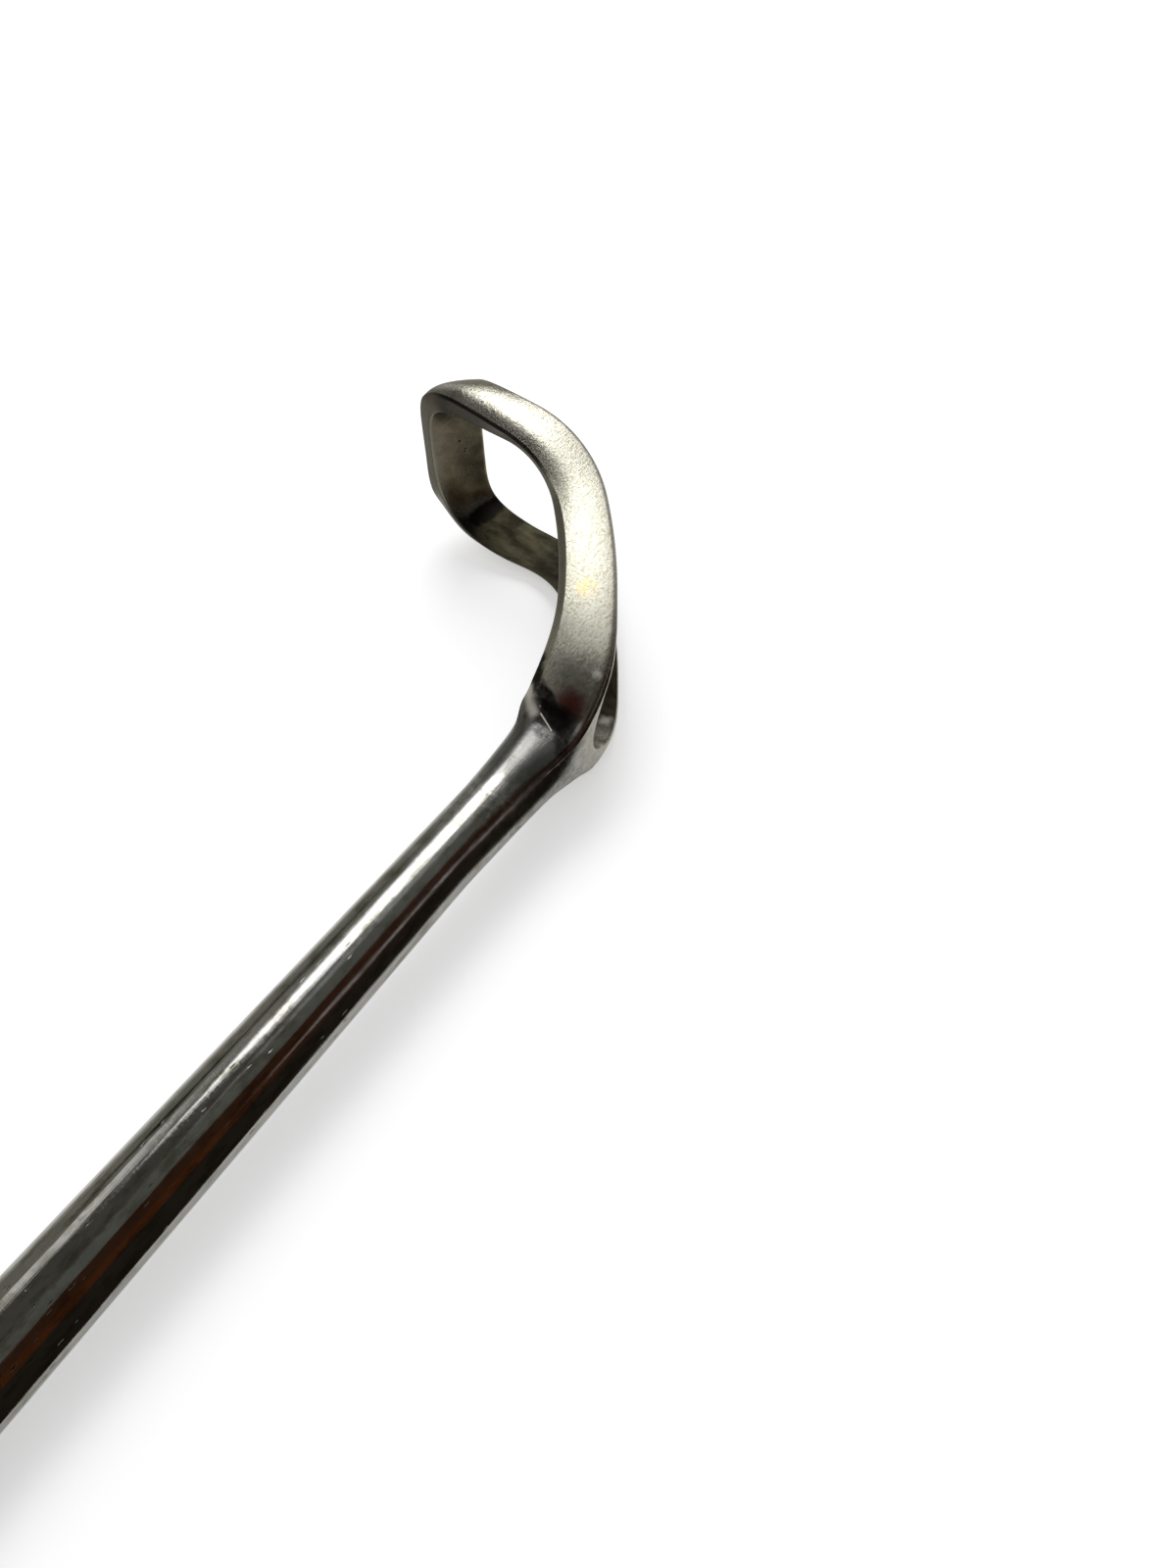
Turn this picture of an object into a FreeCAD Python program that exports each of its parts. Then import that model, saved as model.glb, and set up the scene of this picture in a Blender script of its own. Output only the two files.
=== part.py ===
import FreeCAD, Part

import math
import os

import Sketcher

# Adenoid curette: one forged steel instrument. A plain oval handle flares out of a slender conical
# shaft, and the shaft ends in a bent ring whose far bar is the scraping blade.
#
# Tool frame, in which the pieces are drawn: X runs along the shaft towards the ring, Y is sideways, and
# the ring hooks up towards Z. The ring's root is at X = 0. The finished tool is laid on its side at the
# end, resting on the ring and the handle, as it lies on a table.

os.makedirs("parts", exist_ok=True)
doc = FreeCAD.newDocument("AdenoidCurette")

# Driving dimensions, in millimetres and degrees
sheet = doc.addObject("Spreadsheet::Sheet", "Sizes")
SIZES = [
    ("neck_diameter", 4.61),
    ("neck_length", 10.0),
    ("shoulder_diameter", 5.4),
    ("shoulder_offset", 1.3),
    ("shoulder_rounding", 0.6),
    ("shaft_length", 100.0),
    ("shaft_diameter", 7.4),
    ("flare_length", 24.0),
    ("handle_width", 13.0),
    ("handle_thickness", 7.8),
    ("handle_length", 70.0),
    ("butt_rounding", 2.0),
    ("ring_length", 35.6),
    ("ring_rise", 0.33),
    ("lead_length", 14.0),
    ("root_angle", 6.7),
    ("lower_bend_radius", 19.1704),
    ("middle_bend_radius", 45.1268),
    ("crown_bend_radius", 11.2073),
    ("tip_bend_radius", -32.8989),
    ("root_half_width", 3.36),
    ("lower_half_width", 5.49),
    ("middle_half_width", 6.24),
    ("upper_half_width", 7.52),
    ("tip_half_width", 6.71),
    ("root_top", 2.35),
    ("lower_top", 2.17),
    ("middle_top", 2.02),
    ("upper_top", 1.95),
    ("tip_top", 1.92),
    ("root_bottom", 3.05),
    ("lower_bottom", 2.22),
    ("middle_bottom", 2.12),
    ("upper_bottom", 2.13),
    ("tip_bottom", 2.2),
    ("arm_thickness", 1.0),
    ("face_crown", 0.16),
    ("blade_thickness", 1.75),
    ("blade_lean", 0.93),
    ("blade_bow", 0.75),
    ("blade_swell", 0.3),
    ("tip_run", 7.6),
    ("outer_fullness", 4.2),
    ("inner_fullness", 3.5),
    ("lower_fullness", 6.5),
    ("far_corner_rise", 0.35),
    ("far_corner_reach", 0.15),
    ("far_corner_lip", 0.24),
    ("root_bevel", 1.3),
    ("lower_bevel", 0.85),
    ("middle_bevel", 0.5),
    ("upper_bevel", 0.25),
    ("tip_bevel", 0.15),
    ("root_break", 0.8),
    ("edge_break", 0.24),
    ("crotch_offset", 0.2),
    ("crotch_rounding", 2.4),
    ("tang_length", 7.0),
    ("tang_half_width", 1.5),
    ("tang_top", 1.2),
    ("tang_bevel", 1.3),
    ("tang_bottom", 2.1),
    ("lying_roll", 9.8),
    ("lying_pitch", 0.3),
]
for row, (alias, value) in enumerate(SIZES, start=1):
    sheet.set(f"A{row}", alias)
    sheet.set(f"B{row}", str(value))
    sheet.setAlias(f"B{row}", alias)
doc.recompute()


def size(alias):
    """The number that the sheet holds under this name."""
    return float(sheet.get(alias))


# Shaft: a revolved cone whose neck swells out again, in a tangent arc, to a rounded shoulder

def origin_plane(body, role):
    return next(plane for plane in body.Origin.OriginFeatures if plane.Role == role)


def rim_edge(shape, along):
    """Name of the edge that goes all the way round the X axis at this place along it."""
    for number, edge in enumerate(shape.Edges, start=1):
        box = edge.BoundBox
        if abs(box.XMin - along) < 1e-4 and box.XLength < 1e-4 and edge.isClosed():
            return f"Edge{number}"
    raise RuntimeError(f"no edge goes round at {along}")


# How a sketch counts the ends of a line, and its own origin
START, END = 1, 2
ORIGIN_POINT = (-1, 1)


def pin_point(sketch, line, end, across, up):
    """Ties a line's end point to two expressions over the sheet."""
    spot = sketch.getPoint(line, end)
    for kind, place, rule in (("DistanceX", spot.x, across), ("DistanceY", spot.y, up)):
        number = sketch.addConstraint(Sketcher.Constraint(kind, *ORIGIN_POINT, line, end, place))
        sketch.setExpression(f"Constraints[{number}]", f"{rule} * 1 mm")


shaft = doc.addObject("PartDesign::Body", "Shaft")
shaft_profile = shaft.newObject("Sketcher::SketchObject", "ShaftProfile")
shaft_profile.AttachmentSupport = (origin_plane(shaft, "XY_Plane"), "")
shaft_profile.MapMode = "FlatFace"
shaft_end = -size("shaft_length")
neck_at = -size("neck_length")
shoulder_at = -size("shoulder_offset")
cone_start = FreeCAD.Vector(shaft_end, size("shaft_diameter") / 2, 0)
cone_end = FreeCAD.Vector(neck_at, size("neck_diameter") / 2, 0)
shoulder_top = FreeCAD.Vector(shoulder_at, size("shoulder_diameter") / 2, 0)
cone_slope = (cone_end.y - cone_start.y) / (neck_at - shaft_end)
half_run = (shoulder_at - neck_at) / 2
swelling = shoulder_top.y - cone_end.y - cone_slope * 2 * half_run
arc_middle = FreeCAD.Vector(neck_at + half_run, cone_end.y + cone_slope * half_run + swelling / 4, 0)
end_axis = FreeCAD.Vector(shaft_end, 0, 0)
shoulder_axis = FreeCAD.Vector(shoulder_at, 0, 0)
cone_line = shaft_profile.addGeometry(Part.LineSegment(cone_start, cone_end), False)
neck_arc = shaft_profile.addGeometry(Part.Arc(cone_end, arc_middle, shoulder_top), False)
shoulder_line = shaft_profile.addGeometry(Part.LineSegment(shoulder_top, shoulder_axis), False)
axis_line = shaft_profile.addGeometry(Part.LineSegment(shoulder_axis, end_axis), False)
end_line = shaft_profile.addGeometry(Part.LineSegment(end_axis, cone_start), False)
arc_ends = sorted((START, END), key=lambda end: shaft_profile.getPoint(neck_arc, end).x)
shaft_profile.addConstraint(Sketcher.Constraint("Tangent", cone_line, END, neck_arc, arc_ends[0]))
shaft_profile.addConstraint(Sketcher.Constraint("Coincident", neck_arc, arc_ends[1], shoulder_line, START))
for line, after in ((shoulder_line, axis_line), (axis_line, end_line), (end_line, cone_line)):
    shaft_profile.addConstraint(Sketcher.Constraint("Coincident", line, END, after, START))
pin_point(shaft_profile, cone_line, START, "-Sizes.shaft_length", "Sizes.shaft_diameter / 2")
pin_point(shaft_profile, cone_line, END, "-Sizes.neck_length", "Sizes.neck_diameter / 2")
pin_point(shaft_profile, shoulder_line, START, "-Sizes.shoulder_offset", "Sizes.shoulder_diameter / 2")
pin_point(shaft_profile, shoulder_line, END, "-Sizes.shoulder_offset", "0")
pin_point(shaft_profile, end_line, START, "-Sizes.shaft_length", "0")
doc.recompute()
turned = shaft.newObject("PartDesign::Revolution", "TurnedShaft")
turned.Profile = shaft_profile
turned.ReferenceAxis = (shaft_profile, ["H_Axis"])
turned.Angle = 360
doc.recompute()
shoulder_round = shaft.newObject("PartDesign::Fillet", "ShoulderRounding")
shoulder_round.Base = (turned, [rim_edge(turned.Shape, shoulder_at)])
shoulder_round.setExpression("Radius", "Sizes.shoulder_rounding * 1 mm")
doc.recompute()


# Handle: oval sections that flare smoothly out of the shaft and run straight to the rounded butt

def add_section(name, share, beyond):
    """An oval across the X axis. share runs from 0 for the shaft's round to 1 for the full handle."""
    section = doc.addObject("Part::Ellipse", name)
    for radius, full in (("MajorRadius", "handle_width"), ("MinorRadius", "handle_thickness")):
        rule = f"(Sizes.shaft_diameter + (Sizes.{full} - Sizes.shaft_diameter) * {share}) / 2 * 1 mm"
        section.setExpression(radius, rule)
    section.Placement = FreeCAD.Placement(FreeCAD.Vector(), FreeCAD.Rotation(FreeCAD.Vector(0, 1, 0), 90))
    section.setExpression("Placement.Base.x", f"-(Sizes.shaft_length + {beyond}) * 1 mm")
    return section


FLARE_STEPS = 6
sections = []
for step in range(FLARE_STEPS + 1):
    run = step / FLARE_STEPS
    rise = round(run ** 2 * (3 - 2 * run), 4)
    sections.append(add_section(f"Flare{step}", rise, f"Sizes.flare_length * {round(run, 4)}"))
flare = doc.addObject("Part::Loft", "Flare")
flare.Sections = sections
flare.Solid = True
butt_section = add_section("ButtSection", 1, "Sizes.flare_length + Sizes.handle_length")
grip = doc.addObject("Part::Loft", "Grip")
grip.Sections = [sections[-1], butt_section]
grip.Solid = True
doc.recompute()
butt = size("shaft_length") + size("flare_length") + size("handle_length")
grip_round = doc.addObject("Part::Fillet", "GripRounding")
grip_round.Base = grip
edge_number = int(rim_edge(grip.Shape, -butt)[4:])
grip_round.Edges = [(edge_number, size("butt_rounding"), size("butt_rounding"))]
doc.recompute()

# Ring geometry, worked out along the arc length of its bent centre line

def bend_path(station):
    """Centre-line point and tangent angle: from the shaft's axis into four equally long tangent arcs.

    A negative bend radius bends the line back."""
    radii = [size(name + "_bend_radius") for name in ("lower", "middle", "crown", "tip")]
    span = size("ring_length") / len(radii)
    angle = math.radians(size("root_angle"))
    if station < 0:
        lead = size("lead_length")
        share = max(1 + station / lead, 0)
        rise = size("ring_rise") * share ** 2 * (3 - 2 * share)
        up = rise + lead * math.tan(angle) * (share ** 3 - share ** 2)
        rate = size("ring_rise") * 6 * share * (1 - share) / lead
        return station, up, math.atan(rate + math.tan(angle) * (3 * share ** 2 - 2 * share))
    along, up, left = 0, size("ring_rise"), station
    for radius in radii:
        run = min(left, span)
        bent = run / radius
        chord = 2 * radius * math.sin(bent / 2)
        along += chord * math.cos(angle + bent / 2)
        up += chord * math.sin(angle + bent / 2)
        angle += bent
        left -= run
    return along + left * math.cos(angle), up + left * math.sin(angle), angle


def place_on_ring(station, side, height):
    """A point at an arc length, a sideways distance and a height off the centre line."""
    along, up, angle = bend_path(station)
    return FreeCAD.Vector(along - height * math.sin(angle), side, up + height * math.cos(angle))


def smooth_between(knots, station):
    """Shape-keeping cubic through (station, value) pairs, level at its highest and lowest pairs."""
    rates = [(b[1] - a[1]) / (b[0] - a[0]) for a, b in zip(knots, knots[1:])]
    slopes = [rates[0]]
    for before, after in zip(rates, rates[1:]):
        slopes.append(2 * before * after / (before + after) if before * after > 0 else 0)
    slopes.append(rates[-1])
    station = min(max(station, knots[0][0]), knots[-1][0])
    index = 0
    while station > knots[index + 1][0]:
        index += 1
    (start, low), (end, high) = knots[index], knots[index + 1]
    span = end - start
    share = (station - start) / span
    return (
        low * (1 + 2 * share) * (1 - share) ** 2
        + high * share ** 2 * (3 - 2 * share)
        + span * slopes[index] * share * (1 - share) ** 2
        + span * slopes[index + 1] * share ** 2 * (share - 1)
    )


PLACES = ("root", "lower", "middle", "upper", "tip")


def spread(kind):
    """Knots of one property, such as depth: its value at the tang, then at each quarter of the ring."""
    step = size("ring_length") / (len(PLACES) - 1)
    knots = [(-size("tang_length"), size("tang_" + kind))]
    return knots + [(index * step, size(f"{place}_{kind}")) for index, place in enumerate(PLACES)]


def half_width(station):
    return smooth_between(spread("half_width"), station)


def top(station):
    return smooth_between(spread("top"), station)


def bottom(station):
    return -smooth_between(spread("bottom"), station)


def ease(start, end, value):
    """A smooth step from 0 at start to 1 at end."""
    share = min(max((value - start) / (end - start), 0), 1)
    return share ** 2 * (3 - 2 * share)


def near_blade(station):
    """0 on the arms, rising to 1 at the blade."""
    start = size("ring_length") - 1.5 * size("tip_run")
    end = size("ring_length") - size("tip_run") / 3
    return ease(start, end, station)


def ridge(station):
    """Height of the edge between the outer face and the bevel ground along the concave rim."""
    return top(station) - smooth_between(spread("bevel"), station)


def broken_edge(station):
    """Width by which the outer convex edge is rounded off, most at the root."""
    share = ease(0, size("ring_length") / 4, station)
    return size("root_break") + (size("edge_break") - size("root_break")) * share


def crown(station):
    """How far the edges of the crowned outer face lie in from its middle, less at the blade."""
    return size("face_crown") * (1 - 0.6 * near_blade(station))


def swell(station):
    """Depth of the middle line of the outer face, which stands out at the blade."""
    return -size("blade_swell") * near_blade(station)


ROOT_STEPS = 8
ARM_STEPS = 18
TIP_STEPS = 14


def tip_corner(turn, end, inset, fullness):
    """A point of the rounded way from an arm (turn 0) to the middle of the bowed blade."""
    bend = size("ring_length") - size("tip_run")
    station = bend + (end - bend) * math.sin(turn) ** (2 / fullness)
    return station, (half_width(station) - inset) * math.cos(turn) ** (2 / fullness)


def outline(root, depth_at, height_at):
    """Half a rim laid flat, as (station, side, height), from its rounded root to the blade's middle.

    root is where it starts. depth_at gives how far in from the arms' outer faces it lies, and on the
    blade this is a share of the blade's thickness. Every rim has its arms between the same stations."""
    shoulder = size("crotch_offset") + size("crotch_rounding")
    bend = size("ring_length") - size("tip_run")
    points = []
    for step in range(ROOT_STEPS):
        turn = math.pi / 2 * step / ROOT_STEPS
        station = root + (shoulder - root) * (1 - math.cos(turn))
        side = (half_width(station) - depth_at(station)) * math.sin(turn)
        points.append((station, side, height_at(station)))
    for step in range(ARM_STEPS):
        station = shoulder + (bend - shoulder) * step / ARM_STEPS
        points.append((station, half_width(station) - depth_at(station), height_at(station)))
    lean = size("blade_lean") * height_at(size("ring_length")) / size("tip_top")
    reach = size("ring_length") + size("blade_bow") + lean
    inner_reach = reach - size("blade_thickness")
    inner_fullness = size("inner_fullness" if lean > 0 else "lower_fullness")
    for step in range(TIP_STEPS + 1):
        turn = math.pi / 2 * step / TIP_STEPS
        outer = tip_corner(turn, reach, 0, size("outer_fullness"))
        inner = tip_corner(turn, inner_reach, size("arm_thickness"), inner_fullness)
        share = depth_at(outer[0]) / size("arm_thickness")
        station, side = (start + (end - start) * share for start, end in zip(outer, inner))
        points.append((station, side, height_at(outer[0])))
    return points


def outer_outline(depth_at, height_at):
    return outline(-size("tang_length"), depth_at, height_at)


def inner_outline(spare, height_at):
    return outline(size("crotch_offset") - spare, lambda s: size("arm_thickness") - spare, height_at)


def far_point(station, side, height):
    """The far arm's point. The far corner of the blade was ground a little fuller than the near one."""
    corner = ease(size("upper_half_width") / 5, size("tip_half_width"), side)
    corner *= ease(size("ring_length") / 2, size("ring_length") - size("tip_run") * 2 / 3, station)
    upper = ease(-size("tip_bottom"), size("tip_top"), height)
    reach = size("far_corner_reach") + size("far_corner_lip") * upper
    return place_on_ring(station, side + reach * corner, height + size("far_corner_rise") * corner * upper)


def travel(points):
    """Share of the whole way round at each point of an outline and of its mirror image."""
    steps = [math.dist(a[:2], b[:2]) for a, b in zip(points, points[1:])]
    marks = [0]
    for step in steps + steps[::-1]:
        marks.append(marks[-1] + step)
    return [mark / marks[-1] for mark in marks]


def rim(points):
    """The near and the far half of a rim: an outline bent with the ring."""
    near = [place_on_ring(station, -side, height) for station, side, height in points]
    far = [far_point(*point) for point in reversed(points[1:-1])]
    marks = travel(outer_outline(lambda s: 0, lambda s: 0))
    curve = Part.BSplineCurve()
    curve.interpolate(Points=near + far, Parameters=marks, PeriodicFlag=True)
    curve.setNotPeriodic()
    halves = []
    for start, end in ((0, 0.5), (0.5, 1)):
        half = curve.copy()
        half.segment(start, end)
        halves.append(half.toShape())
    return halves


def make_ring():
    """The bent ring: a closed band of ruled faces between its rims, in a near and a far half."""
    small = size("edge_break")
    rims = [
        rim(outer_outline(crown, lambda s: bottom(s) + broken_edge(s))),
        rim(outer_outline(swell, lambda s: (ridge(s) + bottom(s)) / 2)),
        rim(outer_outline(crown, ridge)),
        rim(inner_outline(small / 2, top)),
        rim(inner_outline(0, lambda s: top(s) - small / 2)),
        rim(inner_outline(0, lambda s: bottom(s) + small)),
        rim(inner_outline(small, bottom)),
        rim(outer_outline(lambda s: (broken_edge(s) + crown(s)) / 2, bottom)),
    ]
    faces = []
    for first, second in zip(rims, rims[1:] + rims[:1]):
        for half in range(2):
            faces.append(Part.makeRuledSurface(first[half], second[half]))
    shell = Part.makeShell(faces)
    shell.sewShape()
    solid = Part.makeSolid(Part.Shell(shell.Faces))
    return solid if solid.Volume > 0 else solid.reversed()


ring = doc.addObject("Part::Feature", "Ring")
ring.Shape = make_ring()

# The whole tool, laid on its side: the hook side rolls up a little, and the ring and the butt touch the
# table. The origin is on the table under the middle of the tool.
curette = doc.addObject("Part::MultiFuse", "Curette")
curette.Label = "curette"
curette.Shapes = [grip_round, flare, shaft, ring]
doc.recompute()
roll = FreeCAD.Rotation(FreeCAD.Vector(1, 0, 0), size("lying_roll") - 90)
pitch = FreeCAD.Rotation(FreeCAD.Vector(0, 1, 0), -size("lying_pitch"))
curette.Placement = FreeCAD.Placement(FreeCAD.Vector(), pitch.multiply(roll))
box = curette.Shape.optimalBoundingBox()
curette.Placement.Base = FreeCAD.Vector(-box.Center.x, -box.Center.y, -box.ZMin)
doc.recompute()

failed = [item.Name for item in doc.Objects if {"Invalid", "Error"} & set(item.State)]
if failed:
    raise RuntimeError(f"objects that failed: {failed}")
for piece in (curette,):
    if piece.Shape.isNull() or not piece.Shape.isValid() or len(piece.Shape.Solids) != 1:
        raise RuntimeError(f"{piece.Label} isn't one sound solid")
    piece.Shape.exportStep(f"parts/{piece.Label}.step")
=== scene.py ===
import math

import bmesh
import bpy
import numpy as np
from mathutils import Matrix, Vector


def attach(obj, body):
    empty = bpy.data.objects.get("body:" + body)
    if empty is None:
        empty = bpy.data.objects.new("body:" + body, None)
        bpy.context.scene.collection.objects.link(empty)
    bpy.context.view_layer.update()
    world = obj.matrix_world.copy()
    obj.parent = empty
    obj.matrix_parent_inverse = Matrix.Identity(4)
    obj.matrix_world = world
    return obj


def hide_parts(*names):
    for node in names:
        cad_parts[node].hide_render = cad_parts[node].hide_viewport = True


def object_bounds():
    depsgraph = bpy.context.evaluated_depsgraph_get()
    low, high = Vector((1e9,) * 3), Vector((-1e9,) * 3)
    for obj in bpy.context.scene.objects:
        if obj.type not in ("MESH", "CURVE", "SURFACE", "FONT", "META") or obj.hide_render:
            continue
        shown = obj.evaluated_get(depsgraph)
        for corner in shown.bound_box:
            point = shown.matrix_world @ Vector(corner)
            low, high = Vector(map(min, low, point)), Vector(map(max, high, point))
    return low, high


# The adenoid curette as it lies on a table. The metal is one fine mesh that stands for the CAD node.
#
# Tool frame, in millimetres, in which the mesh is drawn: X runs along the shaft towards the ring, Y is
# sideways, with the near side at negative Y, and the ring hooks up towards Z. A station is a length
# along the ring's bent centre line. It is 0 at the ring's root and negative on the shaft.

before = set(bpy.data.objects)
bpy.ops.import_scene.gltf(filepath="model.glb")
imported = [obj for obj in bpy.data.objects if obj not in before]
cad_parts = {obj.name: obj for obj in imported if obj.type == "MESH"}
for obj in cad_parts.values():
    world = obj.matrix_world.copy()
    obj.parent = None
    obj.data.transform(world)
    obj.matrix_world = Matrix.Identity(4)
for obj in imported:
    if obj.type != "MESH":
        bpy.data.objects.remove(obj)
cad_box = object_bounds()

MM = 0.001

# Sizes shared with the solid, in millimetres and degrees
NECK_RADIUS = 2.15
SHAFT_RADIUS = 3.7
SHAFT_LENGTH = 100.0
FLARE_LENGTH = 24.0
HANDLE_LENGTH = 69.99
HANDLE_HALVES = (3.9, 6.5)
BUTT_ROUNDING = 2.0
BUTT = SHAFT_LENGTH + FLARE_LENGTH + HANDLE_LENGTH
RING_LENGTH = 35.6
RING_RISE = 0.33
ROOT_ANGLE = 6.7
RING_TURNS = (26.6, 11.3, 45.5, -15.5)
ARM_THICKNESS = 1.0
BLADE_THICKNESS = 1.75
BLADE_LEAN = 0.93
BLADE_BOW = 0.75
TIP_RUN = 7.6
OUTER_FULLNESS = 4.2
INNER_FULLNESS = 3.5
LOWER_FULLNESS = 6.5
CROTCH_OFFSET = 0.2
SHOULDER = 2.6
LEAD = 14.0
LYING_ROLL = 9.8
LYING_PITCH = 0.3

# Knots of the band's shape: (station, value). TOP and BOTTOM are the distances of the concave and the
# convex rim from the centre line. BEVEL is how far the near bevel drops from the concave rim, and
# FAR_BEVEL is the same for the far one.
HALF_WIDTH = [
    (-LEAD, 2.37), (-9, 2.3), (-4, 2.34), (-2, 2.5), (0, 3.36), (8.9, 5.49), (17.8, 6.24),
    (26.7, 7.49), (RING_LENGTH, 6.71),
]
TOP = [
    (-LEAD, 2.37), (-9, 2.32), (-4, 2.46), (-2.2, 2.5), (-0.9, 2.42), (0.4, 2.38), (1.8, 2.46),
    (8.9, 2.17), (17.8, 2.02), (26.7, 1.95), (RING_LENGTH, 1.92),
]
BOTTOM = [
    (-LEAD, 2.37), (-10.9, 2.45), (-8.6, 2.52), (-6.2, 2.65), (-4.6, 2.78), (-3, 2.9), (0, 3.05),
    (2.6, 2.95), (8.9, 2.22), (17.8, 2.12), (26.7, 2.1), (RING_LENGTH, 2.2),
]
BEVEL = [
    (0, 1.0), (4, 0.7), (8.9, 0.52), (15, 0.5), (17.8, 0.42), (20.3, 0.2), (22.5, 0.05),
    (25, 0.05), (28, 0.27), (30.5, 0.42), (34.5, 0.36), (RING_LENGTH, 0.2),
]
FAR_BEVEL = [
    (0, 1.3), (8.9, 0.85), (15, 0.74), (17.8, 0.69), (25, 0.64), (28, 0.52), (32, 0.3),
    (34.5, 0.36), (RING_LENGTH, 0.2),
]


def smooth_between(knots, stations):
    """Shape-keeping cubic through (station, value) pairs."""
    xs, ys = (np.array(column, float) for column in zip(*knots))
    rates = np.diff(ys) / np.diff(xs)
    slopes = np.empty(len(xs))
    slopes[0], slopes[-1] = rates[0], rates[-1]
    for index in range(1, len(xs) - 1):
        before, after = rates[index - 1], rates[index]
        slopes[index] = 2 * before * after / (before + after) if before * after > 0 else 0
    s = np.clip(stations, xs[0], xs[-1])
    i = np.clip(np.searchsorted(xs, s, side="right") - 1, 0, len(xs) - 2)
    span = xs[i + 1] - xs[i]
    q = (s - xs[i]) / span
    return (
        ys[i] * (1 + 2 * q) * (1 - q) ** 2 + ys[i + 1] * q ** 2 * (3 - 2 * q)
        + span * slopes[i] * q * (1 - q) ** 2 + span * slopes[i + 1] * q ** 2 * (q - 1)
    )


def at(knots, station):
    """The knots' value at one station."""
    return float(smooth_between(knots, station))


def ease(low, high, value):
    """0 below low, 1 above high, and a smooth step between."""
    q = np.clip((value - low) / (high - low), 0, 1)
    return q * q * (3 - 2 * q)


def bend_path(stations):
    """Centre-line X, Z and tangent angle. The shaft's axis leads smoothly into four tangent arcs."""
    s = np.asarray(stations, float)
    root = math.radians(ROOT_ANGLE)
    q = np.clip((s + LEAD) / LEAD, 0, 1)
    rise = RING_RISE * q * q * (3 - 2 * q) + LEAD * math.tan(root) * (q ** 3 - q ** 2)
    slope = RING_RISE * 6 * q * (1 - q) / LEAD + math.tan(root) * (3 * q * q - 2 * q)
    along = np.minimum(s, 0)
    angle = np.where(s < 0, np.arctan(slope), root)
    up = np.where(s < 0, rise, RING_RISE)
    left = np.maximum(s, 0)
    span = RING_LENGTH / len(RING_TURNS)
    for turn in RING_TURNS:
        run = np.minimum(left, span)
        bent = math.radians(turn) * run / span
        chord = run * np.sinc(bent / 2 / np.pi)
        along = along + chord * np.cos(angle + bent / 2)
        up = up + chord * np.sin(angle + bent / 2)
        angle = angle + bent
        left = left - run
    return along + left * np.cos(angle), up + left * np.sin(angle), angle


def lift(station, side, height):
    """Points in the tool frame, from stations, distances to the near side and heights off the path."""
    x, z, angle = bend_path(station)
    station, side, height = np.broadcast_arrays(station, side, height)
    return np.stack([x - height * np.sin(angle), -side, z + height * np.cos(angle)], -1)


def mirrored(points):
    return [(p[0], -p[1], p[2]) for p in points]


def arc(centre, radius, start, end, count):
    """Points of a circular arc, with its ends as angles in degrees."""
    turns = np.radians(np.linspace(start, end, count + 1))
    return [(centre[0] + radius * math.cos(t), centre[1] + radius * math.sin(t)) for t in turns]


def between(start, end, count):
    """The values that divide start to end into count steps, without the two ends."""
    return np.linspace(start, end, count + 1)[1:-1]


# Cross lines of the ring's band, in millimetres. Depth is the distance in from the outer face.
CORNER = 0.12          # radius of the rims' fine edges
CROWN = 0.16           # how far the outer face's edges fall back
CROWN_LOSS = 0.6       # share of that fall that the blade's face doesn't have
UPPER_CROWN = 0.25     # how much further its upper edge falls back before the blade
SWELL = 0.3            # how far the blade's outer face stands proud
LOW_EDGE = 0.13        # radius of the convex rim's outer edge at the blade
LOW_EDGE_ARM = 0.17    # what the arms add to it
LOW_EDGE_ROOT = 0.5    # what the ring's root adds to it
FAR_RISE = 0.35        # the blade's far corner is fuller: its upper part stands this much higher,
FAR_REACH = 0.15       # the corner reaches this much further out,
FAR_LIP = 0.22         # and its concave rim adds this much
FAR_DIP = 0.2          # dip of the far arm's concave rim

# How many lines each stretch has, and which one runs along the ridge above the outer face
BEVEL_SHARES = (0, 0.3, 0.65)
EDGE_STEPS = 3
FACE_STEPS = 9
LOW_EDGE_STEPS = 5
WALL_STEPS = 5
RIDGE_LINE = len(BEVEL_SHARES) + 2


def section(station, far=False):
    """(depth, height) of each line of the outer part of the band's section, at one station.

    The lines run from the inner edge of the concave rim over the outer face to the inner edge of the
    convex rim."""
    top, bottom = at(TOP, station), -at(BOTTOM, station)
    bevel = at(FAR_BEVEL if far else BEVEL, station)
    on_blade = ease(24, 30, station)
    low = LOW_EDGE + LOW_EDGE_ARM * (1 - on_blade) + LOW_EDGE_ROOT * (1 - ease(0, 9, station))
    crown = CROWN * (1 - CROWN_LOSS * on_blade)
    swell = SWELL * ease(24, 33, station)
    tilt = UPPER_CROWN * ease(14, 21, station) * (1 - ease(28, 33, station))
    edge = ARM_THICKNESS - CORNER
    low_edge = ARM_THICKNESS - 2 * CORNER
    face_top = top - bevel - CORNER
    slope = math.degrees(math.atan2(bevel, edge - CORNER))
    points = [(edge + (CORNER - edge) * q, top - bevel * q) for q in BEVEL_SHARES]
    points += arc((CORNER, face_top), CORNER, 90 + slope * 0.5, 180, EDGE_STEPS)
    points += [(0, height) for height in between(face_top, bottom + low, FACE_STEPS)]
    points += arc((low, bottom + low), low, 180, 270, LOW_EDGE_STEPS)
    points += [(low + (low_edge - low) * q, bottom) for q in (0.5, 1)]
    middle, half = (face_top + bottom) / 2, (face_top - bottom) / 2
    crowned = []
    for depth, height in points:
        bulge = min(((height - middle) / half) ** 2, 1)
        inset = crown * bulge - swell * (1 - bulge) + (tilt * bulge if height > middle else 0)
        crowned.append((depth + inset * max(1 - depth / low_edge, 0), height))
    return crowned


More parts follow.
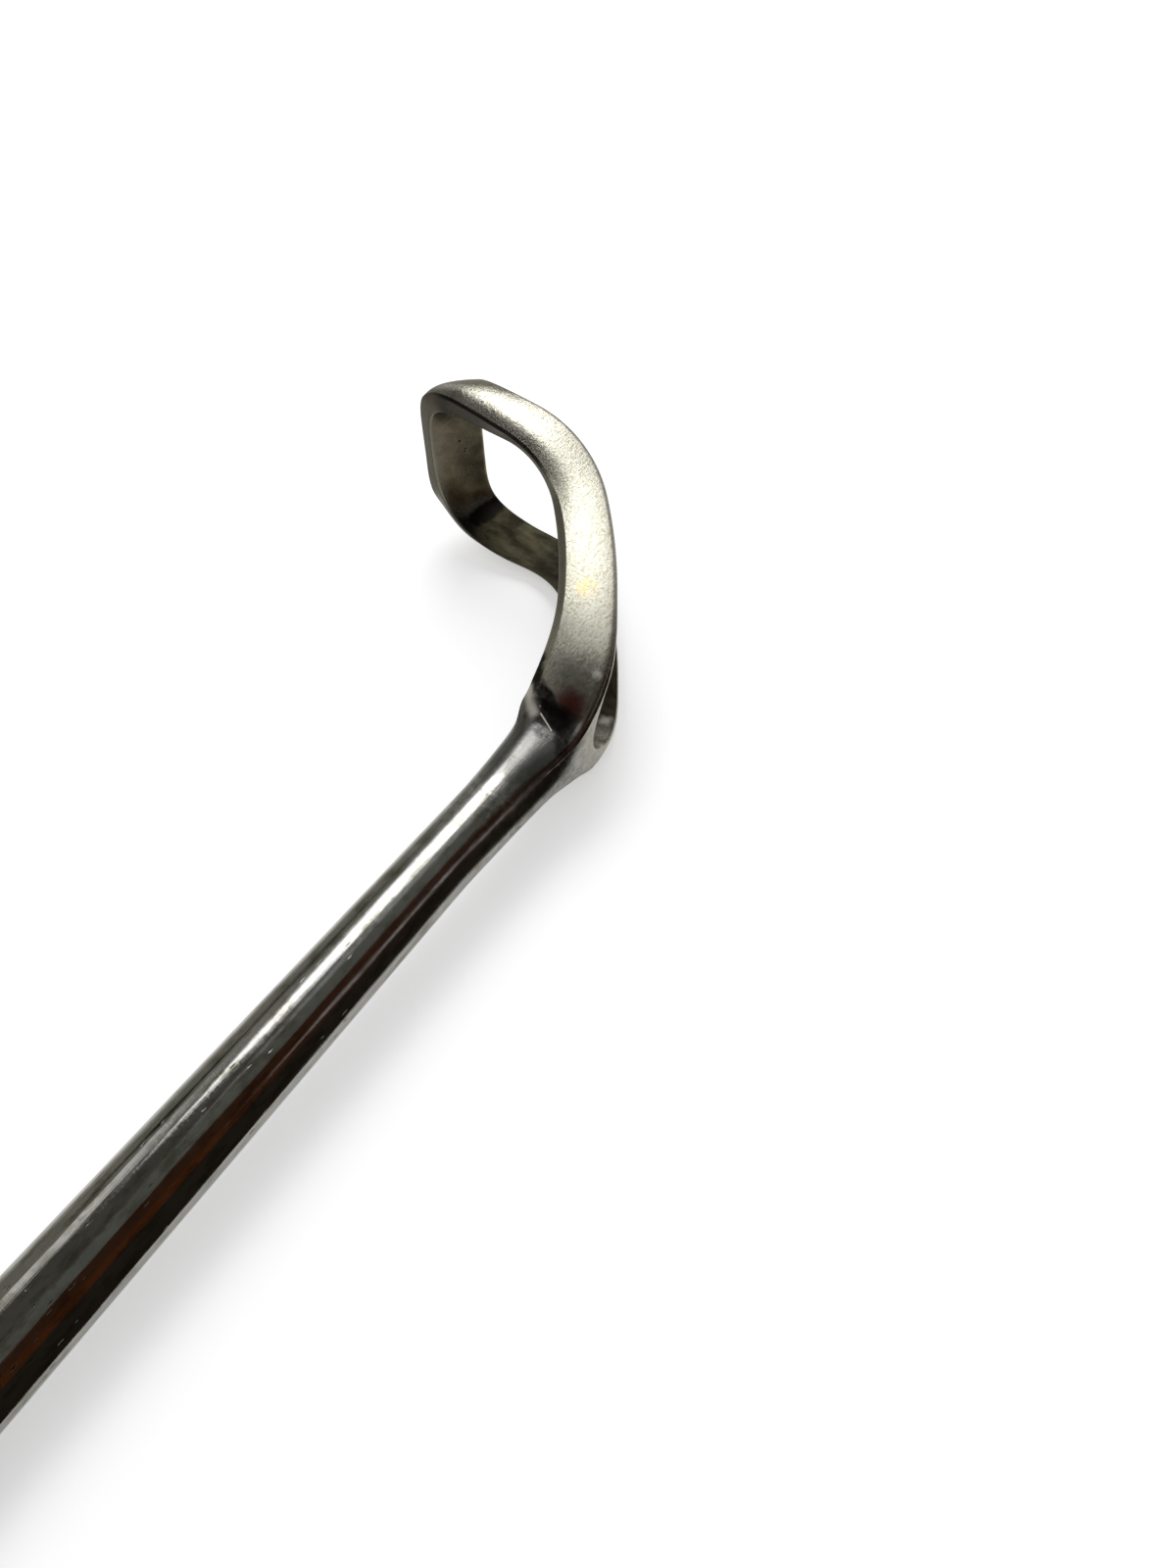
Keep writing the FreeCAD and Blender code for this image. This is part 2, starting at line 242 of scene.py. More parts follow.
def wall(station):
    """(inset, height) of each line down the window's wall, from the concave to the convex rim.

    The inset is the distance back from the wall's face."""
    top, bottom = at(TOP, station), -at(BOTTOM, station)
    low = 2 * CORNER
    points = arc((CORNER, top - CORNER), CORNER, 90, 180, EDGE_STEPS)
    points += [(0, height) for height in between(top - CORNER, bottom + low, WALL_STEPS)]
    return points + arc((low, bottom + low), low, 180, 270, EDGE_STEPS)


# Steps along the ring, and the station where the arms end and the blade's corners start
ROOT_STEPS = 8
ARM_STEPS = 40
TIP_STEPS = 26
TIP_CROWDING = 1.35
BEND = RING_LENGTH - TIP_RUN


def tip_point(turn, end, inset, fullness):
    """(station, side) on the blade's rounded outline, a quarter of a superellipse."""
    power = 2 / fullness
    station = BEND + (end - BEND) * math.sin(turn) ** power
    return station, (at(HALF_WIDTH, station) - inset) * max(math.cos(turn), 0) ** power


def band_point(index, depth, height):
    """(station, side, height) of a point of the near arm or the near half of the blade.

    index counts steps from the shoulder to the blade's middle."""
    if index <= ARM_STEPS:
        station = SHOULDER + (BEND - SHOULDER) * index / ARM_STEPS
        return station, at(HALF_WIDTH, station) - depth, height
    turn = math.pi / 2 * ((index - ARM_STEPS) / TIP_STEPS) ** TIP_CROWDING
    reach = RING_LENGTH + BLADE_BOW + BLADE_LEAN * height / at(TOP, RING_LENGTH)
    outer = tip_point(turn, reach, 0, OUTER_FULLNESS)
    fullness = LOWER_FULLNESS + (INNER_FULLNESS - LOWER_FULLNESS) * ease(-2.0, 1.2, height)
    inner = tip_point(turn, reach - BLADE_THICKNESS, ARM_THICKNESS, fullness)
    share = depth / ARM_THICKNESS
    return outer[0] + (inner[0] - outer[0]) * share, outer[1] + (inner[1] - outer[1]) * share, height


def root_point(step, inset, height):
    """A point of the window's rounded crotch. Step 0 is the middle, and ROOT_STEPS is the shoulder."""
    turn = math.pi / 2 * step / ROOT_STEPS
    root = CROTCH_OFFSET - inset
    station = root + (SHOULDER - root) * (1 - math.cos(turn))
    return station, (at(HALF_WIDTH, station) - ARM_THICKNESS + inset) * math.sin(turn), height


def band_row(line, far=False):
    """One cross line of the arms or the blade. The far corner of the blade is a little fuller."""
    row = []
    for station, side, height in line:
        if far:
            corner = ease(1.5, 6.5, side) * ease(18, 30, station)
            upper = ease(-1.5, 1.5, height)
            dip = ease(4, 9, station) * (1 - ease(17, 22, station))
            height += (FAR_RISE * corner - FAR_DIP * dip) * upper
            side += (FAR_REACH + FAR_LIP * upper * (1 - ease(32, 35, station))) * corner
        row.append(tuple(lift(station, -side if far else side, height)))
    return row


# Stations of the neck's sections, which lead into the ring, and X of the loops behind them: the cone,
# the flare, the handle and its rounded butt
NECK_ROWS = [
    -LEAD, -13, -12, -11, -10, -9, -8, -7.2, -6.4, -5.7, -5.0, -4.4, -3.9, -3.4, -3.0, -2.7, -2.4,
    -2.1, -1.9, -1.75, -1.6, -1.45, -1.3, -1.15, -1.0, -0.85, -0.65, -0.4, -0.1, 0.2, 0.5, 0.85,
    1.2, 1.6, 2.0, 2.3, SHOULDER,
]
SHAFT_ROWS = [
    *np.linspace(-LEAD - 2, -SHAFT_LENGTH, 22),
    *(-SHAFT_LENGTH - np.linspace(2, FLARE_LENGTH, 12)),
    *(-SHAFT_LENGTH - FLARE_LENGTH - np.linspace(4, HANDLE_LENGTH - BUTT_ROUNDING, 12)),
]
BUTT_ANGLES = (12, 25, 38, 52, 66, 79, 90)
BUTT_SHARES = (0.7, 0.35, 0.02)
ROUND_SPREAD = 3.0     # how widely the ring's side lines spread round the neck


def shaft_halves(x):
    """Half width and half height of the shaft's or the handle's section at X."""
    cone = NECK_RADIUS + (SHAFT_RADIUS - NECK_RADIUS) * np.minimum(-x, SHAFT_LENGTH) / SHAFT_LENGTH
    share = ease(0, FLARE_LENGTH, -x - SHAFT_LENGTH)
    inset = np.maximum(-x - (BUTT - BUTT_ROUNDING), 0)
    round_off = BUTT_ROUNDING - np.sqrt(np.maximum(BUTT_ROUNDING ** 2 - inset ** 2, 0))
    return [cone + (half - SHAFT_RADIUS) * share - round_off for half in HANDLE_HALVES]


def neck_lines(row_share):
    """One section of the neck, half way round from the top middle to the bottom middle.

    row_share is 0 at the first neck row and 1 where the lines end in the crotch and the shoulder."""
    start = NECK_ROWS[0]
    half = []

    def add(end_station, side, height, outer=False):
        """A point of the line that ends there. An outer line keeps its depth in the outer face."""
        station = start + (end_station - start) * row_share
        width, end_width = at(HALF_WIDTH, station), at(HALF_WIDTH, end_station)
        top, bottom = at(TOP, station), -at(BOTTOM, station)
        end_top, end_bottom = at(TOP, end_station), -at(BOTTOM, end_station)
        flat_side = width - (end_width - side) if outer else side * width / end_width
        flat_height = height * (top / end_top if height > 0 else bottom / end_bottom)
        around = math.atan2(side / end_width * ROUND_SPREAD, height)
        round_side = width * math.sin(around)
        round_height = (top if math.cos(around) > 0 else -bottom) * math.cos(around)
        upper = ease(-0.2, 0.6, math.cos(around))
        flat = (1 - upper) * ease(-6.0, -0.1, station) + upper * ease(-2.8, -0.4, station)
        half.append(tuple(lift(
            station,
            round_side + (flat_side - round_side) * flat,
            round_height + (flat_height - round_height) * flat,
        )))

    for step in range(ROOT_STEPS):
        station, side, _ = root_point(step, CORNER, 0)
        add(station, side, at(TOP, root_point(step, 0, 0)[0]))
    for depth, height in section(SHOULDER):
        add(SHOULDER, at(HALF_WIDTH, SHOULDER) - depth, height, outer=True)
    for step in reversed(range(ROOT_STEPS)):
        station, side, _ = root_point(step, 2 * CORNER, 0)
        add(station, side, -at(BOTTOM, root_point(step, 0, 0)[0]))
    return half


class Skin:
    """Points and faces of the mesh. Points that are near each other are merged at the end."""

    def __init__(self):
        self.points, self.faces = [], []

    def grid(self, rows, closed=False):
        """Quads between rows of points."""
        first = len(self.points)
        width = len(rows[0])
        for row in rows:
            self.points.extend(row)
        for r in range(len(rows) - 1):
            for c in range(width if closed else width - 1):
                d = (c + 1) % width
                a = first + r * width
                self.faces.append((a + c, a + d, a + width + d, a + width + c))


def add_shaft(skin):
    """The neck, the shaft and the handle: closed loops from the shoulder back to the butt."""
    loops = []
    for station in reversed(NECK_ROWS):
        half = neck_lines((station - NECK_ROWS[0]) / (SHOULDER - NECK_ROWS[0]))
        loops.append(half + mirrored(reversed(half[1:-1])))
    angles = [math.atan2(p[1], p[2]) for p in loops[-1]]
    rounded = [BUTT_ROUNDING * math.sin(math.radians(t)) for t in BUTT_ANGLES]
    rows = [(x, 1) for x in SHAFT_ROWS + [-(BUTT - BUTT_ROUNDING + run) for run in rounded]]
    for x, share in rows + [(-BUTT, share) for share in BUTT_SHARES]:
        wide, tall = (half * share for half in shaft_halves(x))
        loops.append([(x, wide * math.sin(a), tall * math.cos(a)) for a in angles])
    skin.grid(loops, closed=True)
    count = len(skin.points)
    skin.faces.append(tuple(range(count - len(angles), count)))


def add_ring(skin):
    """The arms and the blade, and the window's wall with the crotch. Gives the ridge's points."""
    total = ARM_STEPS + TIP_STEPS
    near, far, inner = [], [], []
    for index in range(total + 1):
        station = band_point(index, 0, 0)[0]
        near.append([band_point(index, d, h) for d, h in section(station)])
        far.append([band_point(index, d, h) for d, h in section(station, far=True)])
        inner.append([band_point(index, ARM_THICKNESS - inset, h) for inset, h in wall(station)])
    crotch = []
    for step in range(ROOT_STEPS):
        station = root_point(step, 0, 0)[0]
        crotch.append([tuple(lift(*root_point(step, inset, h))) for inset, h in wall(station)])
    outer = [band_row(line) for line in near]
    outer += [band_row(line, far=True) for line in reversed(far[:-1])]
    walls = crotch + [band_row(line) for line in inner]
    walls += [band_row(line, far=True) for line in reversed(inner[:-1])]
    walls += [mirrored(row) for row in reversed(crotch[1:])] + crotch[:1]
    skin.grid(outer)
    skin.grid([row[::-1] for row in walls])
    return [row[RIDGE_LINE] for row in outer[:total + 1]]


def placed(points):
    """Metres in the world frame: the tool lies on its side, in the middle of the solid's box."""
    roll = Matrix.Rotation(math.radians(LYING_ROLL - 90), 3, "X")
    pitch = Matrix.Rotation(math.radians(-LYING_PITCH), 3, "Y")
    turn = np.array(pitch @ roll)
    world = points @ turn.T * MM
    low, high = (np.array(corner) for corner in cad_box)
    shift = (low + high) / 2 - (world.min(0) + world.max(0)) / 2
    return world + shift, turn, shift


def add_object(name, data):
    item = bpy.data.objects.new(name, data)
    bpy.context.scene.collection.objects.link(item)
    return item


# Points nearer than this, in millimetres, become one
MERGE_DISTANCE = 0.002

skin = Skin()
add_shaft(skin)
ridge_points = add_ring(skin)
points, turn, shift = placed(np.array(skin.points, float))
mesh = bpy.data.meshes.new("curette_body")
mesh.from_pydata([tuple(p) for p in points], [], skin.faces)
tool = add_object("curette_body", mesh)
joined = bmesh.new()
joined.from_mesh(mesh)
bmesh.ops.remove_doubles(joined, verts=joined.verts, dist=MERGE_DISTANCE * MM)
bmesh.ops.recalc_face_normals(joined, faces=joined.faces)
joined.to_mesh(mesh)
joined.free()
for polygon in mesh.polygons:
    polygon.use_smooth = True
rounding = tool.modifiers.new("Rounding", "SUBSURF")
rounding.levels = rounding.render_levels = 1

PATH_SAMPLES = 240
RIDGE_REACH = 2.0


def mark_points(mesh, ridge_points):
    """Gives each point of the mesh the marks that the finish reads.

    place is the place in the tool frame and station the one on the ring, or X on the shaft, both in
    millimetres. blade_inside, arm_inside and concave_rim are shares of the blade's dull inner face,
    the window's unpolished wall with the blade's corners, and the rim on the ring's concave side.
    ridge_away is the distance from the near ridge, at most RIDGE_REACH millimetres."""
    places = (np.array([vertex.co for vertex in mesh.vertices]) - shift) @ turn / MM
    normals = np.array([vertex.normal for vertex in mesh.vertices]) @ turn
    samples = np.linspace(0, RING_LENGTH, PATH_SAMPLES)
    path_x, path_z, path_angle = bend_path(samples)
    nearest = ((places[:, :1] - path_x) ** 2 + (places[:, 2:] - path_z) ** 2).argmin(1)
    stations = np.where(places[:, 0] < 0, places[:, 0], samples[nearest])
    cosine, sine = np.cos(path_angle[nearest]), np.sin(path_angle[nearest])
    backward = -normals[:, 0] * cosine - normals[:, 2] * sine
    upright = normals[:, 2] * cosine - normals[:, 0] * sine
    inward = -normals[:, 1] * np.sign(places[:, 1])

    blade_rim = ease(0.45, 0.7, upright) * ease(26, 30, stations)
    corner_rim = blade_rim * ease(3.0, 6.0, np.abs(places[:, 1]))
    middle_rim = blade_rim * (1 - corner_rim) * ease(30, 33, stations)
    blade_inside = np.maximum(ease(31, 33.5, stations) * ease(0.35, 0.75, backward), 0.5 * middle_rim)
    wall_inside = np.maximum(ease(0.45, 0.8, inward) * ease(0, 5, stations), corner_rim)
    concave_rim = ease(0.3, 0.6, upright) * ease(3, 9, stations) * (1 - corner_rim)
    concave_rim *= 1 - 0.6 * ease(20, 25, stations) * (1 - ease(27, 32, stations))
    ridge_away = np.linalg.norm(places[:, None] - np.array(ridge_points)[None], axis=2).min(1)
    for name, kind, field, values in (
        ("place", "FLOAT_VECTOR", "vector", places),
        ("station", "FLOAT", "value", stations),
        ("blade_inside", "FLOAT", "value", blade_inside),
        ("arm_inside", "FLOAT", "value", wall_inside * (1 - blade_inside)),
        ("concave_rim", "FLOAT", "value", concave_rim),
        ("ridge_away", "FLOAT", "value", np.minimum(ridge_away, RIDGE_REACH)),
    ):
        attribute = mesh.attributes.new(name, kind, "POINT")
        attribute.data.foreach_set(field, values.astype(np.float32).ravel())


mark_points(mesh, ridge_points)

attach(tool, "root")
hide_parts("curette")


# Finish

class Nodes:
    """A short way to write node trees: each call makes a node, fed by numbers or sockets.

    An input goes by its name, or by its number after an i."""

    def __init__(self, material):
        self.tree = material.node_tree

    def make(self, kind, output=0, settings=(), **inputs):
        node = self.tree.nodes.new(kind)
        for name, value in dict(settings).items():
            setattr(node, name, value)
        for name, value in inputs.items():
            key = int(name[1:]) if name[0] == "i" and name[1:].isdigit() else name.replace("_", " ")
            self.feed(node.inputs[key], value)
        return node.outputs[output]

    def feed(self, socket, value):
        if isinstance(value, bpy.types.NodeSocket):
            self.tree.links.new(value, socket)
        else:
            socket.default_value = value

    def mark(self, name, vector=False):
        return self.make("ShaderNodeAttribute", 1 if vector else 2, {"attribute_name": name})

    def math(self, operation, first, second=0.0, third=0.0):
        return self.make("ShaderNodeMath", 0, {"operation": operation}, i0=first, i1=second, i2=third)

    def vector(self, operation, output=0, **inputs):
        return self.make("ShaderNodeVectorMath", output, {"operation": operation}, **inputs)

    def times(self, value, *factors):
        for factor in factors:
            value = self.math("MULTIPLY", value, factor)
        return value

    def most(self, value, *others):
        for other in others:
            value = self.math("MAXIMUM", value, other)
        return value

    def plus(self, value, *others):
        for other in others:
            value = self.math("ADD", value, other)
        return value

    def rest(self, share):
        return self.math("SUBTRACT", 1.0, share)

    def step(self, value, low, high, start=0.0, end=1.0):
        return self.make(
            "ShaderNodeMapRange", 0, {"interpolation_type": "SMOOTHSTEP"},
            Value=value, From_Min=low, From_Max=high, To_Min=start, To_Max=end,
        )

    def stretched(self, place, scales, slant=0.0):
        """The place with a scale for each axis, slanted about the sideways axis in degrees."""
        turned = (0, math.radians(slant), 0)
        return self.make("ShaderNodeMapping", 0, (), Vector=place, Scale=scales, Rotation=turned)

    def noise(self, place, scale, detail=3.0, rough=0.55):
        return self.make(
            "ShaderNodeTexNoise", 0, (), Vector=place, Scale=scale, Detail=detail, Roughness=rough,
        )

    def spot(self, place, centre, low, high):
        """1 within low millimetres of the centre, and 0 beyond high."""
        return self.step(self.vector("DISTANCE", 1, i0=place, i1=centre), low, high, 1.0, 0.0)

    def stroke(self, place, start, end, low, high):
        """1 within low millimetres of the line from start to end, and 0 beyond high."""
        along = Vector(end) - Vector(start)
        from_start = self.vector("SUBTRACT", i0=place, i1=start)
        share = self.vector("DOT_PRODUCT", 1, i0=from_start, i1=along / along.length_squared)
        share = self.make("ShaderNodeClamp", 0, (), Value=share)
        foot = self.vector("SCALE", i0=along, Scale=share)
        return self.step(self.vector("DISTANCE", 1, i0=from_start, i1=foot), low, high, 1.0, 0.0)

    def mix(self, share, first, second):
        node = self.tree.nodes.new("ShaderNodeMix")
        node.data_type = "RGBA"
        for index, value in ((0, share), (6, first), (7, second)):
            self.feed(node.inputs[index], value)
        return node.outputs[2]


# Colours of the steel, its marks and its stains, and of painted reflections, shade and highlights
GREY, PALE_GREY = (0.53, 0.525, 0.50, 1), (0.62, 0.61, 0.58, 1)
WARM_GREY = (0.67, 0.65, 0.54, 1)
SPECK = (0.32, 0.29, 0.16, 1)
DULL_BROWN, DULL_TAN = (0.12, 0.095, 0.05, 1), (0.24, 0.195, 0.12, 1)
DARK_OLIVE, OLIVE = (0.012, 0.01, 0.0055, 1), (0.046, 0.041, 0.025, 1)
# Painted darker reflection on the ring's concave rim
CONCAVE_RIM_DARK_REFLECTION = (0.2, 0.19, 0.15, 1)
# Painted dark reflections along the near ridge: the band below it and the line on it
BELOW_RIDGE_DARK_REFLECTION = (0.11, 0.105, 0.09, 1)
RIDGE_DARK_REFLECTION = (0.012, 0.011, 0.01, 1)
MOTTLE = (0.27, 0.26, 0.19, 1)
GOLD = (0.7, 0.56, 0.25, 1)
# Painted brown and dark reflections at the near arm's root
PAINTED_BROWN_REFLECTION = (0.16, 0.02, 0.007, 1)
PAINTED_DARK_REFLECTION = (0.008, 0.007, 0.006, 1)
CORNER_DARK_REFLECTION = (0.2, 0.175, 0.14, 1)
SHADE = (0.12, 0.12, 0.12, 1)
BLOTCH = (0.22, 0.22, 0.2, 1)
# Painted highlights
PAINTED_HIGHLIGHT = (0.6, 0.57, 0.5, 1)
PIT = (0.03, 0.025, 0.02, 1)

# Relief of the fine marks, in metres
BUMP_DEPTH = 0.00004

# Places of single marks, painted reflections, painted shade and painted highlights in the tool frame.
# A pit has its centre and radius, and a stroke its two ends.
GOLD_PLACE = (8.31, -5.48, 3.43)
BROWN_REFLECTION_PLACE = (0.3, -3.3, -0.9)
DARK_REFLECTION_PLACE = (-1.0, -2.75, -0.8)
HALF_DARK_REFLECTION_PLACE = (2.2, -3.8, -0.4)
CORNER_REFLECTION_PLACE = (18.2, -5.0, 26.6)
SHADE_PLACE = (-4.0, -2.3, 0.1)
EDGE_GLINT_PLACE = (3.1, -4.0, -1.2)
WALL_GLINT_PLACE = (4.9, 3.6, -0.6)
LARGE_PITS = (
    ((19.67, -0.31, 24.59), 0.16), ((19.99, 0.66, 24.33), 0.13), ((19.9, 0.95, 24.39), 0.12),
    ((19.88, 5.07, 23.12), 0.14),
)
DARK_REFLECTION_STROKES = (
    ((2.6, -3.3, 3.2), (0.5, -3.05, 2.1)), ((0.5, -3.05, 2.1), (-0.7, -2.9, 0.4)),
    ((-1.7, -2.4, 1.4), (-2.3, -2.4, -0.3)), ((-1.5, -2.6, -1.2), (-2.6, -2.1, -2.1)),
    ((1.0, -3.05, 2.7), (0.1, -3.3, 0.9)), ((0.1, -3.3, 0.9), (-1.2, -2.75, -0.6)),
)
# Painted dark reflection in the joint of the blade's far corner
JOINT_DARK_REFLECTION_STROKE = ((18.3, 6.2, 22.3), (20.4, 6.2, 22.0))
# Painted highlights on the ground facet and on two scratches
FACET_HIGHLIGHT_STROKE = ((0.2, -2.65, 2.75), (-1.3, -2.55, 1.2))
UPPER_SCRATCH_HIGHLIGHT = ((-0.2, -2.85, 2.0), (-0.8, -2.9, 0.95))
LOWER_SCRATCH_HIGHLIGHT = ((-1.2, -2.75, 0.65), (-1.85, -2.5, -0.75))


class Steel(Nodes):
    """The tool's one material: the values that several effects share, and a method for each effect."""

    def __init__(self, material):
        super().__init__(material)
        self.place = self.mark("place", vector=True)
        self.station = self.mark("station")
        self.blade = self.mark("blade_inside")
        self.wall = self.mark("arm_inside")
        self.unpolished = self.most(self.blade, self.wall)
        self.on_ring = self.step(self.station, -3.0, 2.0)
        self.on_shaft = self.rest(self.on_ring)
        self.grain = self.noise(self.place, 4.5, 3.0, 0.75)
        jitter = self.make("ShaderNodeTexNoise", 1, (), Vector=self.place, Scale=1.6, Detail=3.0)
        ragged = self.vector("MULTIPLY_ADD", i0=jitter, i1=(0.8, 0.8, 0.8), i2=self.place)
        self.ragged_place = self.vector("SUBTRACT", i0=ragged, i1=(0.4, 0.4, 0.4))

    def brush_marks(self):
        """Brush marks that run slantwise over the arms."""
        broad = self.noise(self.stretched(self.place, (1.0, 5.5, 9.0), 38), 1.3, 4.0, 0.6)
        fine = self.noise(self.stretched(self.place, (0.5, 8.0, 14.0), 46), 1.6, 2.0, 0.5)
        return self.plus(self.times(broad, 0.6), self.times(fine, 0.4))

    def shaft_marks(self):
        """Fine marks that go round the shaft, and faint ones along it."""
        turned = self.noise(self.stretched(self.place, (9.0, 0.9, 0.9)), 1.2, 4.0, 0.65)
        drawn = self.noise(self.stretched(self.place, (0.12, 5.0, 5.0)), 1.2, 3.0, 0.5)
        share = self.step(self.station, -45.0, -6.0, 0.25, 0.75)
        return self.plus(self.times(turned, share), self.times(drawn, 0.35))

    def pits(self):
        """Small pits, thick near the handle's end of the shaft, and four larger ones in the blade."""
        stretched = self.stretched(self.place, (0.3, 1.4, 1.4))
        cells = self.make("ShaderNodeTexVoronoi", 0, (), Vector=stretched, Scale=1.9)
        patches = self.step(self.noise(self.place, 0.35, 2.0), 0.45, 0.58)
        near_handle = self.step(self.station, -12.0, -40.0)
        small = self.times(self.step(cells, 0.07, 0.17, 1.0, 0.0), patches, near_handle)
        large = [self.spot(self.place, centre, radius * 0.6, radius) for centre, radius in LARGE_PITS]
        return self.most(small, *large)

    def metal_colour(self, brushed):
        """Grey steel, warmer and speckled on the ring, dull brown and olive inside it, and a painted
        darker reflection on the concave rim.
        """
        cloud = self.step(self.noise(self.place, 0.45, 3.0), 0.35, 0.65)
        colour = self.mix(cloud, GREY, PALE_GREY)
        colour = self.mix(self.times(self.on_ring, 0.7), colour, WARM_GREY)
        specks = self.most(self.step(self.grain, 0.48, 0.36), self.step(brushed, 0.48, 0.39))
        colour = self.mix(self.times(specks, self.on_ring, 0.7), colour, SPECK)
        dull = self.step(self.noise(self.place, 0.8, 4.0), 0.35, 0.65)
        colour = self.mix(self.times(self.blade, 0.92), colour, self.mix(dull, DULL_BROWN, DULL_TAN))
        streaks = self.noise(self.stretched(self.place, (1.2, 1.6, 0.5)), 0.8, 3.0)
        olive = self.mix(self.step(streaks, 0.3, 0.7), DARK_OLIVE, OLIVE)
        colour = self.mix(self.wall, colour, olive)
        # The concave rim gets a painted darker reflection
        return self.mix(self.times(self.mark("concave_rim"), 0.75), colour, CONCAVE_RIM_DARK_REFLECTION)

    def painted_ridge_reflections(self, colour):
        """A painted dark reflection: a thin dark line along the near ridge, with a darker band below
        it before the blade.
        """
        away = self.mark("ridge_away")
        # The painted band of dark reflection below the ridge, ragged by the grain
        ragged = self.math("MULTIPLY_ADD", self.grain, 1.2, self.math("SUBTRACT", away, 0.6))
        before_blade = self.times(
            self.step(self.station, 19.0, 25.0), self.step(self.station, 34.5, 32.5),
        )
        band = self.times(self.step(ragged, 0.8, 1.5, 0.8, 0.0), before_blade)
        # The painted dark reflection on the ridge itself
        line = self.times(self.step(away, 0.09, 0.18, 0.95, 0.0), self.step(self.station, 19.0, 23.0))
        return self.mix(line, self.mix(band, colour, BELOW_RIDGE_DARK_REFLECTION), RIDGE_DARK_REFLECTION)

    def stains(self, colour):
        """The shaft's mottling and the golden stain on the near arm."""
        mottled = self.noise(self.stretched(self.place, (0.5, 1.5, 1.5)), 0.9, 5.0, 0.65)
        mottled = self.times(
            self.step(mottled, 0.46, 0.66), self.on_shaft,
            self.step(self.station, -100.0, -70.0, 0.3, 0.7),
        )
        colour = self.mix(mottled, colour, MOTTLE)
        gold = self.times(
            self.spot(self.place, GOLD_PLACE, 0.2, 1.3),
            self.step(self.noise(self.place, 2.6, 4.0), 0.42, 0.56), 0.8,
        )
        return self.mix(gold, colour, GOLD)

    def painted_reflections_shade_and_blotches(self, colour):
        """Painted dark and brown reflections at the near arm's root, painted dark reflections at the
        blade's far corner joint and at its near corner, and the neck's painted shade and grey
        blotches.
        """
        place = self.ragged_place
        # Painted brown reflection at the near arm's root
        colour = self.mix(self.times(self.spot(place, BROWN_REFLECTION_PLACE, 0.4, 2.0), 0.95), colour, PAINTED_BROWN_REFLECTION)
        # Painted dark reflections at the root and in the joint of the blade's far corner
        dark_reflection = self.most(
            self.spot(place, DARK_REFLECTION_PLACE, 0.5, 1.5),
            self.times(self.spot(place, HALF_DARK_REFLECTION_PLACE, 0.6, 3.2), 0.5),
            *(self.stroke(place, start, end, 0.25, 0.7) for start, end in DARK_REFLECTION_STROKES),
            self.times(self.stroke(place, *JOINT_DARK_REFLECTION_STROKE, 0.6, 0.95), self.unpolished),
        )
        colour = self.mix(self.times(dark_reflection, 0.97), colour, PAINTED_DARK_REFLECTION)
        # Painted darker reflection on the blade's near corner
        corner = self.times(self.spot(place, CORNER_REFLECTION_PLACE, 1.0, 3.4), 0.7)
        colour = self.mix(corner, colour, CORNER_DARK_REFLECTION)
        # Painted shade on the neck
        shade = self.times(self.spot(place, SHADE_PLACE, 1.4, 5.0), 0.75)
        colour = self.mix(shade, colour, SHADE)
        on_neck = self.times(self.step(self.station, -16.0, -7.0, 0.0, 0.6), self.on_shaft)
        blotches = self.step(self.noise(self.place, 1.5, 4.0, 0.7), 0.46, 0.56)
        return self.mix(self.times(blotches, on_neck), colour, BLOTCH)

    def painted_highlights(self):
        """Painted highlights: the ground facet and two scratches at the near arm's root painted
        bright, and two painted glints.
        """
        facet_highlight = self.stroke(self.place, *FACET_HIGHLIGHT_STROKE, 0.1, 0.7)
        glints = self.most(
            self.spot(self.ragged_place, WALL_GLINT_PLACE, 0.1, 0.8),
            self.spot(self.ragged_place, EDGE_GLINT_PLACE, 0.05, 0.6),
        )
        return self.most(
            self.times(facet_highlight, 0.75), self.times(glints, 0.6),
            self.stroke(self.place, *UPPER_SCRATCH_HIGHLIGHT, 0.03, 0.11),
            self.stroke(self.place, *LOWER_SCRATCH_HIGHLIGHT, 0.02, 0.09),
        )

    def roughness(self, marks):
        """Satin on the arms, smoother on the shaft and the blade, and rough inside the ring."""
        at_root = self.times(self.step(self.station, -13.0, -4.0), self.step(self.station, 3.0, 0.0))
        rough = self.plus(
            self.step(self.station, -60.0, -4.0, 0.12, 0.2),
            self.step(self.station, 1.0, 6.0, -0.03, 0.13),
            self.step(self.station, 21.0, 26.0, 0.0, -0.14),
            self.times(at_root, 0.06),
            self.times(self.unpolished, 0.16),
            self.times(self.math("SUBTRACT", marks, 0.5), 0.22),
        )
        return self.most(rough, 0.06)


